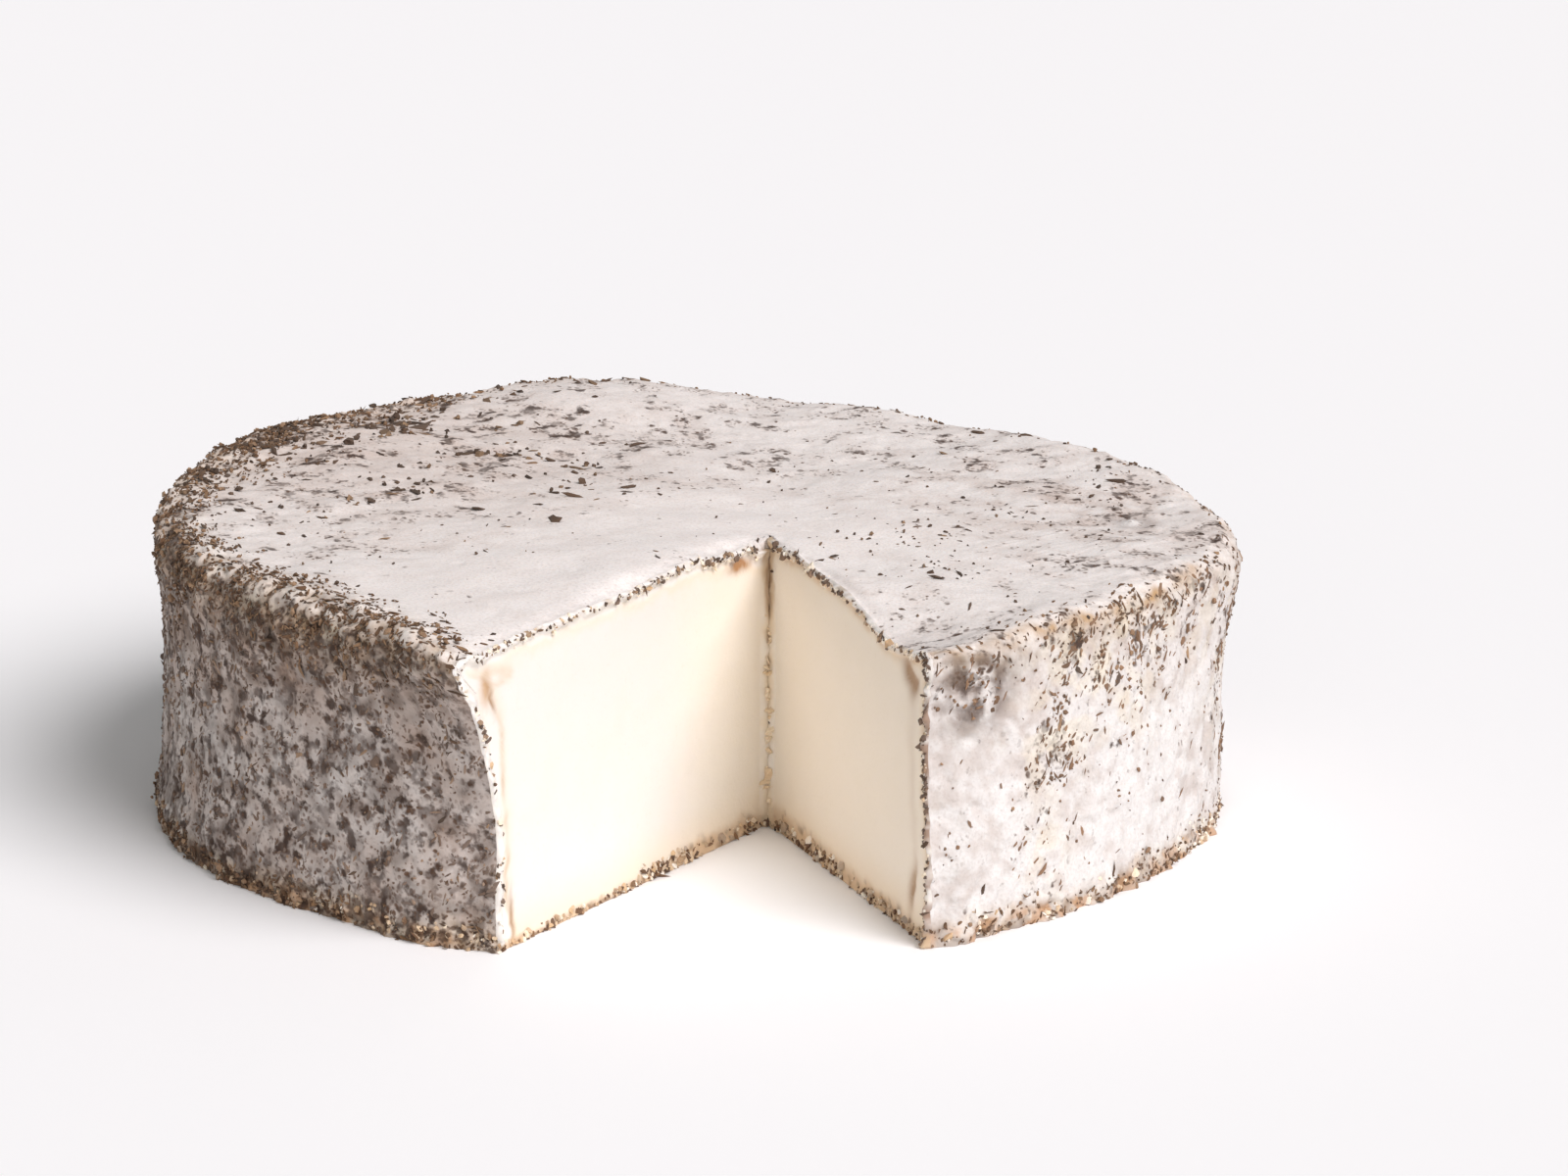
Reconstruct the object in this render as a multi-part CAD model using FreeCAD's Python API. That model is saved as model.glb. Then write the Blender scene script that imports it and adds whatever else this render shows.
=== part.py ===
"""A round wheel of soft goat's cheese with one wedge cut out of it, as a single solid.

Millimetres, +Z up. The wheel stands on z = 0 with the missing wedge towards -Y, and the origin is
the centre of the footprint's box. The wheel is uneven, as a cheese made by hand is: its side has a
foot, a waist and a rim that each wander in and out, and its top leans, dips at the cuts and swells
at the back. The two cuts are flat knife cuts that meet in a narrow crevice near the middle.
"""

import FreeCAD
import Part

import math
import os

# The wheel.
WHEEL_RADIUS = 100.0
WHEEL_HEIGHT = 55.0
SHOULDER_RADIUS = 5.0
CUT_SHOULDER_RADIUS = 2.5  # the shoulder is sharper beside the cuts
CUT_SHOULDER_SPREAD_DEG = 14.0
FOOT_RADIUS = 2.0
WAIST_LEVEL = 0.4  # height of the waist between the foot, 0, and the rim, 1

# The missing wedge. Its tip is measured from the wheel's axis, its cuts by their directions.
TIP = (15.0, -20.0)
RIGHT_CUT_DEG = -75.0
LEFT_CUT_DEG = 231.5
CREVICE_RADIUS = 0.8

# How far the side stands out of the plain radius: azimuth in degrees, then foot, waist and rim.
SIDE_OFFSETS = (
    (-160.0, -4.0, -6.0, -5.0),
    (-135.0, -6.5, -7.0, -5.0),
    (-122.0, -1.2, -5.5, 1.0),
    (-114.0, -2.0, -4.5, 7.5),
    (-92.0, 0.0, -3.5, 3.0),
    (-70.0, 4.0, -2.5, -2.0),
    (-52.0, -1.5, -3.0, -4.0),
    (-33.0, -1.0, -2.0, -4.0),
    (-15.0, 2.0, 1.0, 3.5),
    (8.0, 1.0, -1.0, 0.5),
    (35.0, -2.0, -5.0, -5.0),
    (62.0, 0.0, -3.0, -1.0),
    (97.0, 2.5, 0.0, 4.5),
    (115.0, 1.0, -1.0, 3.0),
    (131.0, -1.0, -4.0, -1.5),
    (165.0, -3.0, -5.0, -4.0),
)

# The top: how it leans, and its swellings as direction from the tip, distance, height and spread.
LEAN_X = -0.022
LEAN_Y = 0.015
SWELLINGS = (
    (LEFT_CUT_DEG, 30.0, 1.6, 26.0),
    (LEFT_CUT_DEG, 70.0, -0.6, 14.0),
    (RIGHT_CUT_DEG, 57.0, -4.0, 13.0),
    (104.0, 112.0, 2.8, 24.0),
    (140.0, 104.0, 2.2, 24.0),
    (35.0, 92.0, 1.9, 42.0),
    (80.0, 45.0, -1.2, 30.0),
    (190.0, 62.0, -0.8, 20.0),
)

# How finely the skin is sampled before a smooth surface is drawn through the samples.
SECTIONS = 91
TOP_STEPS = 18
ROUND_STEPS = 5
WALL_STEPS = 8


def offset_at(azimuth, level):
    """Smooth curve round the wheel through one column of SIDE_OFFSETS; it closes on itself."""
    knots = [(row[0], row[1 + level]) for row in SIDE_OFFSETS]
    count = len(knots)
    first = knots[0][0]
    azimuth = first + (azimuth - first) % 360.0
    last = max(i for i in range(count) if knots[i][0] <= azimuth)
    around = []
    for step in (-1, 0, 1, 2):
        turn, index = divmod(last + step, count)
        around.append((knots[index][0] + 360.0 * turn, knots[index][1]))
    (a0, v0), (a1, v1), (a2, v2), (a3, v3) = around
    span = a2 - a1
    slope_1 = (v2 - v0) / (a2 - a0) * span
    slope_2 = (v3 - v1) / (a3 - a1) * span
    t = (azimuth - a1) / span
    return (
        (2 * t**3 - 3 * t**2 + 1) * v1
        + (t**3 - 2 * t**2 + t) * slope_1
        + (3 * t**2 - 2 * t**3) * v2
        + (t**3 - t**2) * slope_2
    )


def wheel_radius(azimuth, level):
    """Radius about the wheel's axis; level runs from 0 at the foot to 1 at the rim."""
    foot, waist, rim = (offset_at(azimuth, column) for column in range(3))
    by_foot = (level - WAIST_LEVEL) * (level - 1.0) / WAIST_LEVEL
    by_waist = level * (1.0 - level) / (WAIST_LEVEL * (1.0 - WAIST_LEVEL))
    by_rim = level * (level - WAIST_LEVEL) / (1.0 - WAIST_LEVEL)
    return WHEEL_RADIUS + foot * by_foot + waist * by_waist + rim * by_rim


def from_tip(direction, distance):
    """Plan position at a distance from the wedge's tip."""
    angle = math.radians(direction)
    return TIP[0] + distance * math.cos(angle), TIP[1] + distance * math.sin(angle)


def reach(direction, level):
    """Distance from the wedge's tip to the side, by halving the stretch that holds it."""
    inside, outside = 0.0, 2.0 * WHEEL_RADIUS
    for _ in range(40):
        middle = (inside + outside) / 2.0
        x, y = from_tip(direction, middle)
        if math.hypot(x, y) < wheel_radius(math.degrees(math.atan2(y, x)), level):
            inside = middle
        else:
            outside = middle
    return inside


def top_height(x, y):
    """Height of the top above the table."""
    height = WHEEL_HEIGHT + LEAN_X * x + LEAN_Y * y
    for direction, distance, rise, spread in SWELLINGS:
        centre_x, centre_y = from_tip(direction, distance)
        away = math.hypot(x - centre_x, y - centre_y)
        height += rise * math.exp(-((away / spread) ** 2))
    return height


def shoulder_radius(direction):
    """Radius that rounds the rim over, easing to the sharper one beside each cut."""
    from_cuts = min(direction - RIGHT_CUT_DEG, LEFT_CUT_DEG - direction)
    nearness = math.exp(-((from_cuts / CUT_SHOULDER_SPREAD_DEG) ** 2))
    return SHOULDER_RADIUS + (CUT_SHOULDER_RADIUS - SHOULDER_RADIUS) * nearness


def section(direction):
    """One upright section of the skin: along the top, over the shoulder and down to the foot."""
    shoulder = shoulder_radius(direction)
    brink = reach(direction, 1.0) - shoulder
    profile = []
    for step in range(TOP_STEPS):
        out = CREVICE_RADIUS + (brink - CREVICE_RADIUS) * step / TOP_STEPS
        profile.append((out, top_height(*from_tip(direction, out))))
    brink_height = top_height(*from_tip(direction, brink))
    for step in range(ROUND_STEPS):
        turn = math.pi / 2.0 * step / ROUND_STEPS
        out = brink + shoulder * math.sin(turn)
        profile.append((out, brink_height - shoulder * (1.0 - math.cos(turn))))
    wall_top = brink_height - shoulder
    for step in range(WALL_STEPS):
        level = 1.0 - step / WALL_STEPS
        profile.append((reach(direction, level), FOOT_RADIUS + (wall_top - FOOT_RADIUS) * level))
    foot = reach(direction, 0.0)
    for step in range(ROUND_STEPS + 1):
        turn = math.pi / 2.0 * step / ROUND_STEPS
        out = foot - FOOT_RADIUS * (1.0 - math.cos(turn))
        profile.append((out, FOOT_RADIUS * (1.0 - math.sin(turn))))
    return [FreeCAD.Vector(*from_tip(direction, out), up) for out, up in profile]


def skin_grid():
    """Sections of the skin from the right cut round the back to the left cut."""
    sweep = LEFT_CUT_DEG - RIGHT_CUT_DEG
    return [section(RIGHT_CUT_DEG + sweep * i / (SECTIONS - 1)) for i in range(SECTIONS)]


def edge_between(face, start, end):
    """The face's edge that runs between two corners, either way round."""
    close = 1e-3
    for edge in face.Edges:
        ends = [vertex.Point for vertex in edge.Vertexes]
        for first, second in ((start, end), (end, start)):
            if ends[0].distanceToPoint(first) < close and ends[-1].distanceToPoint(second) < close:
                return edge
    raise ValueError("the skin has no edge there")


def line(start, end):
    return Part.LineSegment(start, end).toShape()


def floor_arc(edge):
    """The crevice's top edge pressed flat onto the table."""
    curve = edge.Curve.copy()
    for index in range(1, curve.NbPoles + 1):
        pole = curve.getPole(index)
        curve.setPole(index, FreeCAD.Vector(pole.x, pole.y, 0.0))
    return curve.toShape(edge.FirstParameter, edge.LastParameter)


def build_wheel():
    """The skin, the base, the two cuts and the crevice, closed into one solid."""
    grid = skin_grid()
    surface = Part.BSplineSurface()
    surface.interpolate(grid)
    skin = surface.toShape()

    right_top, right_foot = grid[0][0], grid[0][-1]
    left_top, left_foot = grid[-1][0], grid[-1][-1]
    right_base = FreeCAD.Vector(right_top.x, right_top.y, 0.0)
    left_base = FreeCAD.Vector(left_top.x, left_top.y, 0.0)

    crevice_top = edge_between(skin, right_top, left_top)
    foot_edge = edge_between(skin, right_foot, left_foot)
    crevice_base = floor_arc(crevice_top)
    right_rise, left_rise = line(right_base, right_top), line(left_base, left_top)
    right_line, left_line = line(right_base, right_foot), line(left_base, left_foot)

    crevice = Part.makeRuledSurface(crevice_top, crevice_base)
    base = Part.Face(Part.Wire(Part.__sortEdges__([foot_edge, left_line, crevice_base, right_line])))
    cuts = []
    for rise, profile, floor in (
        (right_rise, edge_between(skin, right_top, right_foot), right_line),
        (left_rise, edge_between(skin, left_top, left_foot), left_line),
    ):
        cuts.append(Part.Face(Part.Wire(Part.__sortEdges__([rise, profile, floor]))))

    shell = Part.makeShell([skin, base, crevice] + cuts)
    shell.sewShape()
    wheel = Part.makeSolid(shell)
    if wheel.Volume < 0:
        wheel.reverse()
    return centred(wheel, grid)


def centred(wheel, grid):
    """Moves the wheel so that the middle of its footprint's box is the origin."""
    xs = [point.x for row in grid for point in row]
    ys = [point.y for row in grid for point in row]
    wheel.translate(FreeCAD.Vector(-(min(xs) + max(xs)) / 2.0, -(min(ys) + max(ys)) / 2.0, 0.0))
    return wheel


os.makedirs("parts", exist_ok=True)
cheese = build_wheel()
cheese.exportStep("parts/cheese_wheel.step")
box = cheese.BoundBox
print(
    f"cheese_wheel: valid {cheese.isValid()}, closed {cheese.isClosed()}, "
    f"{cheese.Volume / 1000.0:.1f} cm3, {box.XLength:.1f} x {box.YLength:.1f} x {box.ZLength:.1f} mm"
)
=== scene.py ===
"""Looks of a goat's cheese wheel with a wedge cut out: mouldy rind, cream paste and rubbed herbs.

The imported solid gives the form. Its skin is read back by rays, laid out again as a fine grid and
given the rind's relief, and both cut faces are laid out from the edges of that grid. Herbs, grains
and crumbs are small joined lumps strewn over it. Lengths are in metres, by way of MM where that is
easier to read, except that noise, spots and ease_mm take theirs in millimetres. Densities are pieces
for each square millimetre.
"""

import itertools
import math

import bpy
import numpy as np
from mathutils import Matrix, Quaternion, Vector
from mathutils.bvhtree import BVHTree
from mathutils.geometry import delaunay_2d_cdt
from mathutils.kdtree import KDTree


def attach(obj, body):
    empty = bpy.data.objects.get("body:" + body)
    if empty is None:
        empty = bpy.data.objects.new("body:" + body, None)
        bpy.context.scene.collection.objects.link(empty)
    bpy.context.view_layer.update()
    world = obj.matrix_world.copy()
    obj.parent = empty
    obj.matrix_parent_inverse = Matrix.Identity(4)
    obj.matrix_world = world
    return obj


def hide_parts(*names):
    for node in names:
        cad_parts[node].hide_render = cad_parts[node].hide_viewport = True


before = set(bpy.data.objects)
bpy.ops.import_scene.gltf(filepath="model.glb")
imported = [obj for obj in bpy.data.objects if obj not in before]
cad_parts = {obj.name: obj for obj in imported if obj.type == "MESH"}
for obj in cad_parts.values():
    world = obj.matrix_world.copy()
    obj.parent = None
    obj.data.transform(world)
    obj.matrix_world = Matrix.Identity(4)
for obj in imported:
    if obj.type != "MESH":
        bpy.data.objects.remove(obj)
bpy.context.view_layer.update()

MM = 0.001
LATTICE_SHIFT = 4096.0  # keeps the cells of the noise above 0
rng = np.random.default_rng(23)

# The wheel's axis and the missing wedge, as the solid has them.
AXIS = np.array((-3.03, -3.16)) * MM
TIP = np.array((11.97, -23.16)) * MM
TIP_FOOT = np.array((*TIP, 0.0))
KNOB = (-7.7, 54.5)  # azimuth in degrees and height in millimetres
RIGHT_CUT = math.radians(-75.0)
LEFT_CUT = math.radians(231.5)
CREVICE = 0.15 * MM  # the cut faces are drawn in until they all but meet
WHEEL_RADIUS = 100 * MM

# The skin's grid: rows run from the tip out over the top, then over the rim and down to the foot.
COLUMNS = 768
TOP_ROWS = 170
SIDE_ROWS = 120
BASE_ROWS = 36
RIM_WIDTH = 6 * MM
SMOOTHINGS = 6

# Depths at which the rings of a cut face lie, in from its edge.
CUT_RINGS = np.array((
    0, 0.2, 0.4, 0.6, 0.8, 1.0, 1.25, 1.5, 1.8, 2.1, 2.45, 2.8, 3.2, 3.6, 4.1, 4.7, 5.4, 6.2, 7.0, 8.0, 9.0,
)) * MM
CUT_FILL = 0.9 * MM  # spacing of the points inside the innermost ring
CREVICE_ROWS = 90

# Colours, linear.
WHITE_MOULD = (0.80, 0.785, 0.768)
GREY_MOULD = (0.46, 0.365, 0.315)
CREAMY = (0.87, 0.76, 0.57)
BROWN_MOULD = (0.135, 0.098, 0.080)
TAN_CRUST = (0.50, 0.345, 0.205)
GOLD_CRUST = (0.46, 0.27, 0.11)
PASTE = (0.910, 0.838, 0.735)
CREAMLINE = (0.90, 0.745, 0.56)
RIND_LINE = (0.88, 0.83, 0.78)
HERB_DARK = (0.045, 0.027, 0.018)
HERB_OLIVE = (0.135, 0.075, 0.042)
HERB_TAN = (0.38, 0.235, 0.13)
CRUST_LIGHT = (0.64, 0.43, 0.25)
CRUST_DARK = (0.16, 0.088, 0.050)
TOP_TINT = (0.89, 0.785, 0.725)
TOP_PALE = (0.95, 0.89, 0.85)
FOOT_ORANGE = (0.50, 0.26, 0.11)
KNOB_RING = (0.25, 0.215, 0.20)
# A paler curd for the left face where it is brightly lit: painted light.
LIT_CURD_PAINTED = (0.85, 0.801, 0.752)
WALL_BROWN = (0.30, 0.155, 0.085)
# Brown along the creases: painted shade in the gap between rind and paste.
CREASE_PAINTED_SHADE = (0.38, 0.215, 0.105)
CREVICE_CURD = (0.84, 0.66, 0.43)
CREVICE_TAN = (0.50, 0.33, 0.20)
CREVICE_BROWN = (0.50, 0.31, 0.17)
STAIN_BROWN = (0.40, 0.18, 0.055)
CORNER_TAN = (0.58, 0.35, 0.18)
SIDE_BROWN = (0.29, 0.165, 0.095)
RIM_DUST = (0.42, 0.29, 0.18)
RIM_BROWN = (0.17, 0.080, 0.036)
RIM_TAN = (0.33, 0.21, 0.13)
FLOOR_BROWN = (0.22, 0.105, 0.045)
TIP_TAN = (0.72, 0.52, 0.32)


# ---------------- numbers


def ease(values, low, high):
    """0 below low, 1 above high and smooth between; low may be the greater."""
    part = np.clip((values - low) / (high - low), 0.0, 1.0)
    return part * part * (3.0 - 2.0 * part)


def ease_mm(lengths, low, high):
    """The same for lengths in metres, with low and high in millimetres."""
    return ease(lengths, low * MM, high * MM)


def between(first, second, share):
    """Numbers from first, at a share of 0, to second, at 1."""
    return first * (1.0 - share) + second * share


def blend(first, second, share):
    """Colours from first to second, by a share for each point."""
    return between(np.asarray(first), np.asarray(second), np.asarray(share)[..., None])


def lattice(cells, seed):
    """A fixed random number from 0 to 1 for each cell of a lattice."""
    x, y, z = (cells[..., k].astype(np.uint64) for k in range(3))
    mixed = x * np.uint64(73856093) ^ y * np.uint64(19349663) ^ z * np.uint64(83492791)
    mixed = (mixed ^ np.uint64(seed * 2654435761)) & np.uint64(0xFFFFFFFF)
    for shift, factor in ((16, 0x7FEB352D), (15, 0x846CA68B)):
        mixed = ((mixed ^ (mixed >> np.uint64(shift))) * np.uint64(factor)) & np.uint64(0xFFFFFFFF)
    return (mixed ^ (mixed >> np.uint64(16))) / 4294967296.0


def noise(points, size, seed, unit=MM):
    """Smooth noise from -1 to 1 whose bumps are about size across, in millimetres."""
    place = np.asarray(points) / (size * unit) + LATTICE_SHIFT
    cells = np.floor(place).astype(np.int64)
    part = place - cells
    part = part * part * (3.0 - 2.0 * part)
    total = 0.0
    for corner in itertools.product((0, 1), repeat=3):
        weight = np.prod(np.where(corner, part, 1.0 - part), axis=-1)
        total = total + weight * lattice(cells + np.array(corner), seed)
    return 2.0 * total - 1.0


def rough(points, size, seed, octaves=3, unit=MM):
    """Layers of noise, each half as large and half as strong as the one before."""
    layers = [noise(points, size / 2**k, seed + k, unit) / 2**k for k in range(octaves)]
    return sum(layers) / 1.4


def bell(values, middle, width):
    """1 at the middle, fading smoothly to 0 on both sides."""
    return np.exp(-(((values - middle) / width) ** 2))


def unit(vectors):
    return vectors / np.maximum(np.linalg.norm(vectors, axis=-1, keepdims=True), 1e-12)


# ---------------- the skin's grid


def from_tip(direction, out):
    """Plan position at a distance from the wedge's tip."""
    return TIP[0] + out * np.cos(direction), TIP[1] + out * np.sin(direction)


def section_rays():
    """Ends of the rays that read a section: distances from the tip, and heights."""
    over, beyond, under = 64 * MM, 130 * MM, -2 * MM
    above = [(out, over) for out in np.linspace(-12.5 * MM, beyond, 110)]
    beside = [(beyond, up) for up in np.linspace(over, under, 60)[1:]]
    return above + beside


def read_section(skin, direction):
    """Distance from the tip and height along the solid's skin in one upright plane."""
    hub_out, hub_up = 45 * MM, 27 * MM
    hub = Vector((*from_tip(direction, hub_out), hub_up))
    along = Vector((math.cos(direction), math.sin(direction), 0.0))
    found = []
    for out, up in section_rays():
        way = along * (out - hub_out) + Vector((0.0, 0.0, up - hub_up))
        hit = skin.ray_cast(hub, way)[0]
        if hit is not None and hit.z > 0.05 * MM:
            found.append((math.hypot(hit.x - TIP[0], hit.y - TIP[1]), hit.z))
    found.append((found[-1][0], 0.0))
    return np.array(found)


def run_along(path):
    """Distance along a path to each of its points."""
    return np.concatenate(([0.0], np.cumsum(np.linalg.norm(np.diff(path, axis=0), axis=1))))


def even_rows(path, count):
    """Points at even steps along a path."""
    run = run_along(path)
    steps = np.linspace(0.0, run[-1], count)
    return np.stack([np.interp(steps, run, path[:, k]) for k in range(path.shape[1])], axis=1)


def grid_column(section):
    """One column of the grid as distances and heights."""
    brink = section[:, 0].max() - RIM_WIDTH
    split = int(np.argmax(section[:, 0] > brink))
    out = np.linspace(CREVICE, brink, TOP_ROWS + 1)
    up = np.interp(out, section[: split + 1, 0], section[: split + 1, 1])
    top = np.stack((out, up), axis=1)
    side = even_rows(np.concatenate((top[-1:], section[split:])), SIDE_ROWS + 1)
    return np.concatenate((top, side[1:]))


def lay_grid():
    """Points over the whole skin, by row and column, and the columns' directions."""
    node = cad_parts["cheese_wheel"]
    skin = BVHTree.FromPolygons(
        [v.co for v in node.data.vertices], [p.vertices for p in node.data.polygons]
    )
    inside = math.radians(0.03)  # a ray along a cut face could miss it
    coarse = np.linspace(RIGHT_CUT + inside, LEFT_CUT - inside, 240)
    reaches = np.array([read_section(skin, d)[:, 0].max() for d in coarse])
    outline = np.stack(from_tip(coarse, reaches), axis=1)
    run = run_along(outline)
    directions = np.interp(np.linspace(0.0, run[-1], COLUMNS + 1), run, coarse)
    columns = np.array([grid_column(read_section(skin, d)) for d in directions])
    directions[0], directions[-1] = RIGHT_CUT, LEFT_CUT
    out, up = columns[..., 0].T, columns[..., 1].T
    grid = np.stack((*from_tip(directions, out), up), axis=-1)
    return smoothed(grid), directions


def smoothed(grid):
    """Takes the solid's facets out of the grid, leaving its four edges where they are."""
    for _ in range(SMOOTHINGS):
        grid[1:-1] = (grid[:-2] + 2 * grid[1:-1] + grid[2:]) / 4
        grid[:, 1:-1] = (grid[:, :-2] + 2 * grid[:, 1:-1] + grid[:, 2:]) / 4
    return grid


def normals_of(grid):
    down, across = np.gradient(grid, axis=0), np.gradient(grid, axis=1)
    return unit(np.cross(down, across))


# ---------------- where things are on the rind


def around(points):
    """Azimuth about the wheel's axis, in degrees from -180 to 180."""
    return np.degrees(np.arctan2(points[..., 1] - AXIS[1], points[..., 0] - AXIS[0]))


def by_azimuth(azimuth, table):
    """Reads a table of (azimuth, value) rows, smoothly, all the way round."""
    knots = np.array([(a + turn, v) for turn in (-360, 0, 360) for a, v in table])
    return np.interp(azimuth, knots[:, 0], knots[:, 1])


def spot(points, azimuth, height, size, radius=98):
    """1 at a place on the side, or on the top if radius says so, fading over size; in millimetres."""
    angle, reach = math.radians(azimuth), radius * MM
    centre = (AXIS[0] + reach * math.cos(angle), AXIS[1] + reach * math.sin(angle), height * MM)
    return bell(np.linalg.norm(points - np.array(centre), axis=-1), 0.0, size * MM)


def slanting(points, long, wide, seed):
    """Noise drawn out along lines that lean to the right as they climb the side."""
    run = np.radians(around(points)) * WHEEL_RADIUS
    lean = math.radians(57)
    along = run * math.cos(lean) + points[..., 2] * math.sin(lean)
    across = points[..., 2] * math.cos(lean) - run * math.sin(lean)
    return rough(np.stack((along / long, across / wide, 0 * along), axis=-1), 1.0, seed, unit=1.0)


# Share of grey, bare and herb-covered rind round the wheel: much on the left, little on the right. Its rise
# at the far right of the front, from -30 to -8 degrees, is painted shade, as that side turns away from the
# light.
SHADE_ROUND = (
    (-170, 0.85), (-140, 0.92), (-115, 0.85), (-76, 0.10), (-55, 0.04), (-30, 0.06), (-8, 0.20),
    (45, 0.30), (90, 0.55), (135, 0.75),
)
# Density of herbs on the side round the wheel.
HERBS_ROUND = (
    (-170, 0.24), (-140, 0.30), (-112, 0.26), (-76, 0.32), (-55, 0.44), (-35, 0.42), (-10, 0.32),
    (45, 0.16), (90, 0.20), (135, 0.22),
)
# How thick the crust of herbs is along the rim.
CRUST_ROUND = (
    (-170, 0.90), (-135, 1.00), (-118, 0.75), (-76, 0.25), (-60, 0.40), (-40, 0.50), (-15, 0.30),
    (20, 0.30), (60, 0.50), (85, 0.40), (110, 0.75), (130, 1.00), (160, 0.95),
)


class Rind:
    """The skin's grid with what each place on it is like."""

    def __init__(self):
        self.grid, self.directions = lay_grid()
        self.smooth = self.grid.copy()
        self.normals = normals_of(self.grid)
        self.describe()
        self.grid = self.grid + self.normals * self.relief()[..., None]
        self.curl_at_cuts()
        self.grid[..., 2] = np.maximum(self.grid[..., 2], 0.0)
        self.normals = normals_of(self.grid)
        self.tone, self.specks = self.colours()

    def describe(self):
        """Where each point lies: round, up, from the cuts and from the rim."""
        grid = self.smooth
        self.azimuth = around(grid)
        self.up = grid[..., 2]
        self.out = np.hypot(grid[..., 0] - TIP[0], grid[..., 1] - TIP[1])
        self.on_top = ease(self.normals[..., 2], 0.35, 0.85)
        turn_right = np.minimum(self.directions - RIGHT_CUT, math.pi / 2)
        turn_left = np.minimum(LEFT_CUT - self.directions, math.pi / 2)
        self.from_right = self.out * np.sin(turn_right)
        self.from_left = self.out * np.sin(turn_left)
        step = np.linalg.norm(np.diff(grid, axis=0), axis=-1)
        run = np.concatenate((np.zeros((1, COLUMNS + 1)), np.cumsum(step, axis=0)))
        self.past_rim = run - run[TOP_ROWS] - 4 * MM  # along the skin, down the side
        self.crust = by_azimuth(self.azimuth, CRUST_ROUND)
        self.shade = by_azimuth(self.azimuth, SHADE_ROUND)
        behind = ease(self.azimuth, 95, 125) * ease(self.azimuth, 179, 160)
        below, above = between(3.2, 7.0, self.crust), between(2.5, 7.5, self.crust**2) + 4 * behind
        self.at_rim = bell(self.past_rim / MM, 0.0, np.where(self.past_rim > 0, below, above))
        ragged = 2.4 * MM * rough(grid, 5, 38)
        self.at_foot = ease_mm(self.up + ragged, 6.5, 1.5) * (1.0 - self.on_top)
        self.streak = slanting(grid, 9 * MM, 2.6 * MM, 40)
        self.furrow = ease(np.abs(self.streak), 0.30, 0.0)
        self.lumps = np.abs(rough(grid, 4.2, 17)) + 0.4 * np.abs(noise(grid, 1.7, 19)) - 0.30
        self.drift = self.herb_drifts()

    def herb_drifts(self):
        """How far herbs take over each place on the side, from 0 to 1."""
        grid = self.smooth
        places = (
            (-49, 44, 12, 1.0), (-38, 49, 12, 1.0), (-54, 30, 8, 0.8), (-55, 13, 6, 0.8),
            (-16, 36, 14, 0.9), (-64.5, 45, 6.5, 1.0), (-8, 14, 12, 0.7), (-26, 51, 10, 0.8),
            (-40, 33, 8, 0.5), (-68, 20, 5, 0.4),
        )
        seen = sum(k * spot(grid, turn, up, size) for turn, up, size, k in places)
        elsewhere = ease(rough(grid, 24, 121), -0.5, 0.6)
        on_right = ease(self.azimuth, -82, -76) * ease(self.azimuth, 2, -10)
        return between(elsewhere, np.clip(seen, 0, 1), on_right)

    def relief(self):
        """How far the rind stands out from the smooth skin."""
        grid, top = self.smooth, self.on_top
        on_side = 1.0 - top
        rugged = between(0.28, 1.0, ease_mm(self.from_left, 30, 75))
        height = top * (0.85 * rough(grid, 19, 1, 2) + rugged * 0.34 * rough(grid, 7, 3))
        height += top * rugged * 0.24 * rough(grid, 3.0, 5)
        height += on_side * (0.42 * rough(grid, 9, 9) + 0.20 * rough(grid, 2.4, 13))
        height += on_side * (0.55 * self.lumps - 0.30 * self.furrow)
        height += (self.at_rim * (0.7 + 0.9 * self.crust) + 1.1 * self.at_foot) * self.lumps
        height += self.wrinkles() + self.button()
        pits = ease(noise(grid, 5, 21), 0.55, 0.95) * (0.45 * on_side + 0.15)
        return (height - pits) * MM

    def wrinkles(self):
        """Low folds in the skin of the top, towards the right rim."""
        place = self.smooth
        lean = math.radians(38)
        along = place[..., 0] * math.cos(lean) + place[..., 1] * math.sin(lean)
        across = place[..., 1] * math.cos(lean) - place[..., 0] * math.sin(lean)
        fold = rough(np.stack((along / 24, across / 4.5, 0 * across), axis=-1), 1.0, 25)
        where = spot(place, -22, 55, 30, 80)
        where += 0.6 * spot(place, 150, 55, 30, 62)
        return 0.12 * where * self.on_top * ease(np.abs(fold), 0.35, 0.0)

    def button(self):
        """A small raised knob in a ring-shaped dip, on the right of the top."""
        knob = spot(self.smooth, *KNOB, 1.6, 84)
        dip = spot(self.smooth, *KNOB, 3.4, 84)
        return 1.5 * knob - 0.7 * dip

    def curl_at_cuts(self):
        """Lets the top's skin drop a little where the knife pulled it down, more at the left."""
        beside = bell(self.from_left, 0.0, 2.6 * MM) * 0.9
        beside += bell(self.from_right, 0.0, 1.6 * MM) * 0.45
        ragged = 1.0 + 0.7 * rough(self.smooth, 4, 29) + 1.1 * rough(self.smooth, 17, 30, 1)
        self.grid[..., 2] -= beside * ragged * self.on_top * ease_mm(self.out, 0, 6) * MM

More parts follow.
